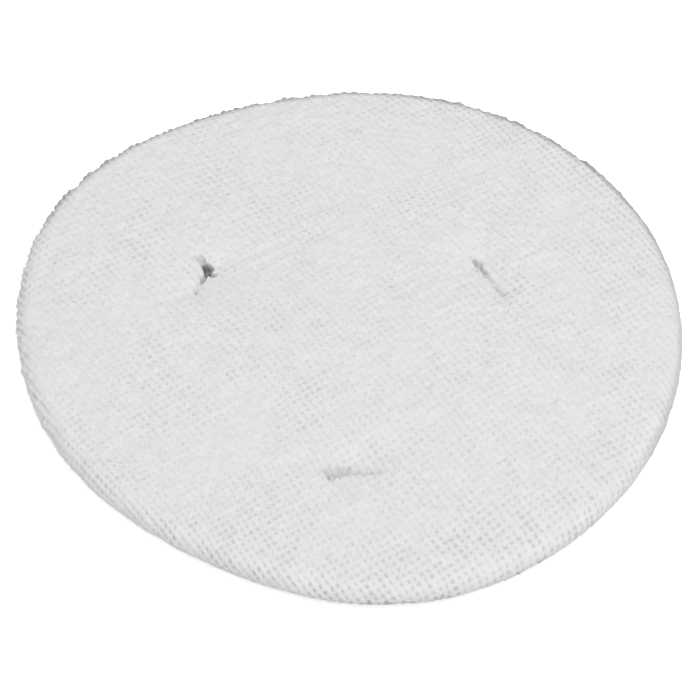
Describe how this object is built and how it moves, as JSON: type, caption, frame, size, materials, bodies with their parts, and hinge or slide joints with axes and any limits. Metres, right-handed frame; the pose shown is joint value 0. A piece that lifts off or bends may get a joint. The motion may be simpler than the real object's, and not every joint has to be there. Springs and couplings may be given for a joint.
{
  "type": "felt polishing wheel",
  "caption": "Soft round polishing pad: pressed felt under wadding in a loosely woven cotton cover with a rounded rim, tack-stitched through its face and flat behind.",
  "frame": {"origin": "centre of the flat back face", "axes": "+Z along the spin axis, out of the back and towards the polishing face; -Y towards the tack stitch that lies alone, +X to its right"},
  "size_m": [0.1, 0.1, 0.0065],
  "materials": {
    "cover_cloth": "open plain-weave cotton with a soft nap",
    "wadding": "loose cotton wadding",
    "felt": "pressed wool felt",
    "backing_cloth": "close plain-weave cotton",
    "thread": "twisted cotton thread"
  },
  "bodies": {
    "root": {"face_cover": "cover_cloth", "wadding": "wadding", "felt_core": "felt", "backing": "backing_cloth", "gather_thread": "thread", "backing_seam": "thread", "tack_stitch_left": "thread", "tack_stitch_right": "thread", "tack_stitch_front": "thread"}
  },
  "joints": []
}
